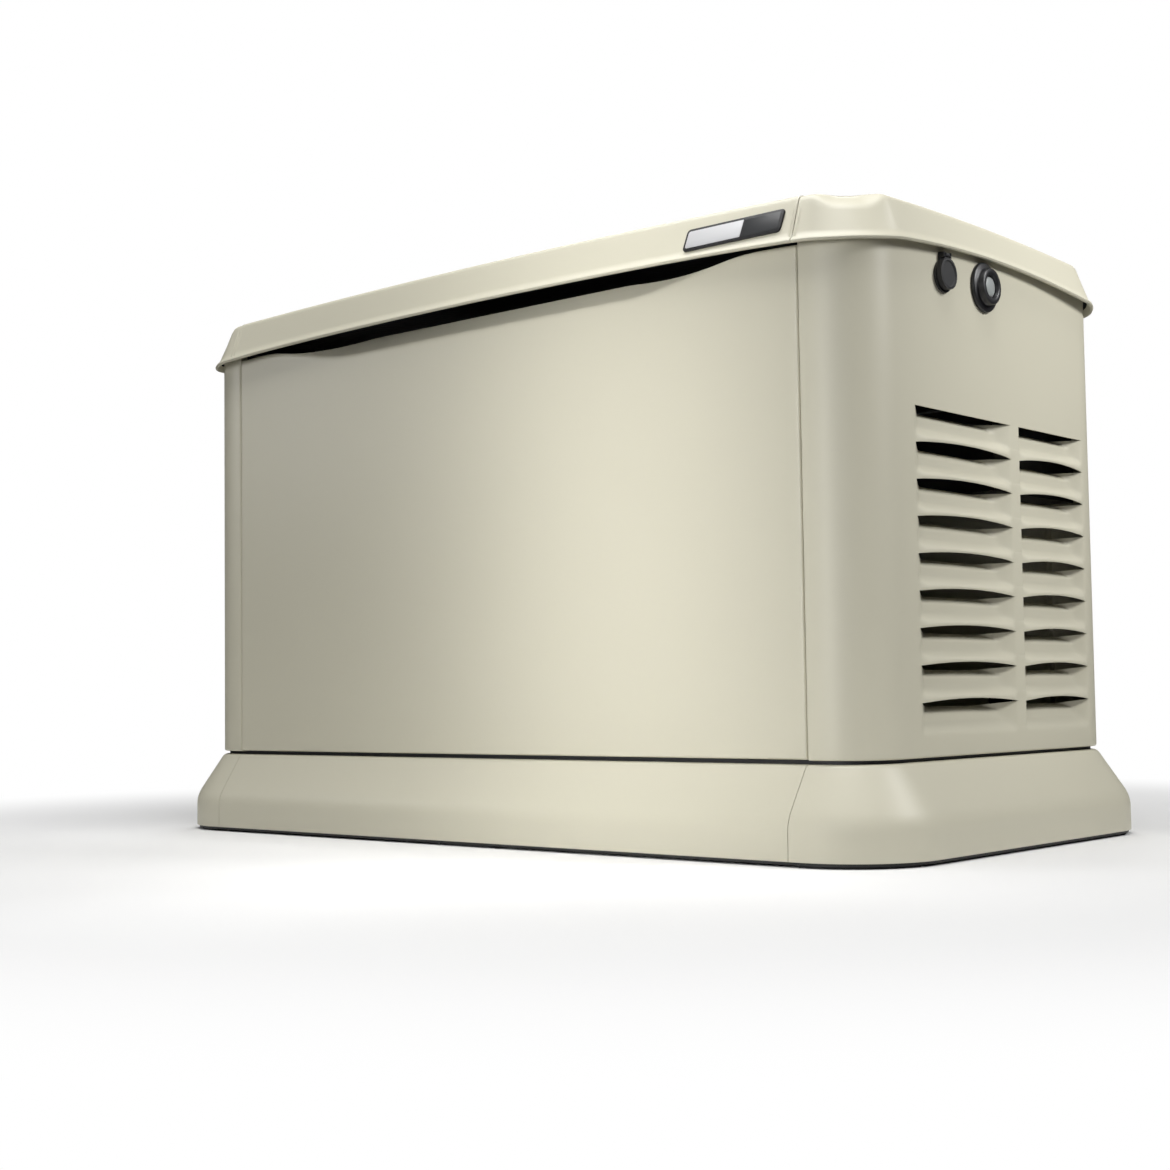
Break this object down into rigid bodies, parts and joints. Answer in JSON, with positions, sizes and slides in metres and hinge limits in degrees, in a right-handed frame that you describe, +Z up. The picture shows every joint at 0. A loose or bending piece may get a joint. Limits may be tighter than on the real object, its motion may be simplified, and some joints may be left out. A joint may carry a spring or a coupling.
{
  "type": "home standby generator",
  "caption": "Air-cooled standby generator in a louvred metal enclosure with a hinged crowned lid, lift-off front door, sloping base skirt, status light and side locks.",
  "frame": {"origin": "on the ground, under the middle of the base", "axes": "+Z up, +X to the right along the length, front door facing -Y"},
  "size_m": [1.279, 0.699, 0.7879],
  "materials": {
    "enclosure_paint": "satin, warm bisque",
    "skirt_plastic": "satin, bisque",
    "base_black": "satin black",
    "black_rubber": "matt",
    "black_plastic": "fine texture",
    "grey_plastic": "fine texture",
    "badge": "silver and grey, blank",
    "zinc_steel": "zinc plated",
    "bright_steel": "plated",
    "galvanised": "galvanised sheet",
    "foam": "acoustic foam",
    "lens": "translucent, frosted",
    "display_glass": "dark window",
    "button_green": "smooth",
    "button_red": "smooth",
    "button_blue": "smooth",
    "cast_alloy": "as cast",
    "engine_black": "semi-gloss black",
    "muffler_steel": "heat-toned",
    "filter_orange": "gloss",
    "filter_paper": "pleated paper",
    "battery_case": "moulded",
    "cable_black": "smooth sheath",
    "winding_core": "lacquered laminations",
    "yellow_plastic": "smooth"
  },
  "bodies": {
    "enclosure": {"base_tray": "base_black", "rubber_feet": "black_rubber", "base_wrap_front": "skirt_plastic", "base_wrap_rear": "skirt_plastic", "base_wrap_ends": "skirt_plastic", "rear_panel": "enclosure_paint", "side_panel_right": "enclosure_paint", "side_panel_left": "enclosure_paint", "divider_panel": "galvanised", "panel_screws": "zinc_steel", "hinge_body_leaves": "base_black", "hinge_pins": "zinc_steel", "lock_bodies": "black_plastic", "status_light_bezel": "black_plastic", "status_light_lens": "lens", "control_box": "black_plastic", "control_face": "grey_plastic", "display_window": "display_glass", "circuit_breaker": "black_plastic", "battery": "battery_case", "battery_cables": "cable_black", "vibration_mounts": "black_rubber", "crankcase": "cast_alloy", "cylinders": "cast_alloy", "cylinder_heads": "cast_alloy", "valve_covers": "engine_black", "spark_plugs": "black_rubber", "intake_manifold": "cast_alloy", "airbox_base": "black_plastic", "air_filter": "filter_paper", "airbox_cover": "black_plastic", "oil_filter": "filter_orange", "oil_drain_hose": "cable_black", "starter_motor": "engine_black", "blower_housing": "engine_black", "alternator_stator": "engine_black", "alternator_carrier": "cast_alloy", "exhaust_headers": "muffler_steel", "muffler": "muffler_steel", "fuel_regulator": "cast_alloy", "fuel_inlet": "zinc_steel"},
    "lid": {"lid_panel": "enclosure_paint", "lid_end_right": "enclosure_paint", "lid_end_left": "enclosure_paint", "lid_liner": "foam", "lid_badge": "badge", "hinge_lid_leaves": "base_black"},
    "front_door": {"front_panel": "enclosure_paint"},
    "crank": {"crankshaft": "bright_steel", "flywheel_fan": "cast_alloy", "alternator_rotor": "winding_core"},
    "cam_right": {"lock_cam_right": "bright_steel"},
    "cam_left": {"lock_cam_left": "bright_steel"},
    "cap_right": {"lock_cap_right": "black_rubber"},
    "cap_left": {"lock_cap_left": "black_rubber"},
    "toggle": {"breaker_toggle": "grey_plastic"},
    "auto_key": {"auto_button": "button_green"},
    "off_key": {"off_button": "button_red"},
    "manual_key": {"manual_button": "button_blue"},
    "oil_dipstick": {"dipstick": "yellow_plastic"}
  },
  "joints": [
    {"name": "lid_hinge", "type": "hinge", "parent": "enclosure", "child": "lid", "pos_m": [0.35, 0.32, 0.706], "axis": [-1, 0, 0], "range_deg": [0, 95]},
    {"name": "front_panel_lift", "type": "slide", "parent": "enclosure", "child": "front_door", "axis": [0, 0, 1], "range_m": [0, 0.008]},
    {"name": "lock_cam_right_turn", "type": "hinge", "parent": "enclosure", "child": "cam_right", "pos_m": [0.585, -0.1256, 0.691], "axis": [1, 0, 0], "range_deg": [0, 90]},
    {"name": "lock_cam_left_turn", "type": "hinge", "parent": "enclosure", "child": "cam_left", "pos_m": [-0.585, -0.1256, 0.691], "axis": [1, 0, 0], "range_deg": [0, 90]},
    {"name": "lock_cap_right_flip", "type": "hinge", "parent": "enclosure", "child": "cap_right", "pos_m": [0.604, -0.1256, 0.7158], "axis": [0, -1, 0], "range_deg": [0, 100]},
    {"name": "lock_cap_left_flip", "type": "hinge", "parent": "enclosure", "child": "cap_left", "pos_m": [-0.604, -0.1256, 0.7158], "axis": [0, 1, 0], "range_deg": [0, 100]},
    {"name": "crank_spin", "type": "hinge", "parent": "enclosure", "child": "crank", "pos_m": [0, 0, 0.27], "axis": [1, 0, 0], "continuous": true},
    {"name": "breaker_flip", "type": "hinge", "parent": "enclosure", "child": "toggle", "pos_m": [0.527, 0.125, 0.625], "axis": [1, 0, 0], "range_deg": [0, 40]},
    {"name": "auto_press", "type": "slide", "parent": "enclosure", "child": "auto_key", "axis": [0, 0.7071, -0.7071], "range_m": [0, 0.0015], "stiffness_N_per_m": 400},
    {"name": "off_press", "type": "slide", "parent": "enclosure", "child": "off_key", "axis": [0, 0.7071, -0.7071], "range_m": [0, 0.0015], "stiffness_N_per_m": 400},
    {"name": "manual_press", "type": "slide", "parent": "enclosure", "child": "manual_key", "axis": [0, 0.7071, -0.7071], "range_m": [0, 0.0015], "stiffness_N_per_m": 400},
    {"name": "dipstick_pull", "type": "slide", "parent": "enclosure", "child": "oil_dipstick", "axis": [0, 0, 1], "range_m": [0, 0.18]}
  ]
}
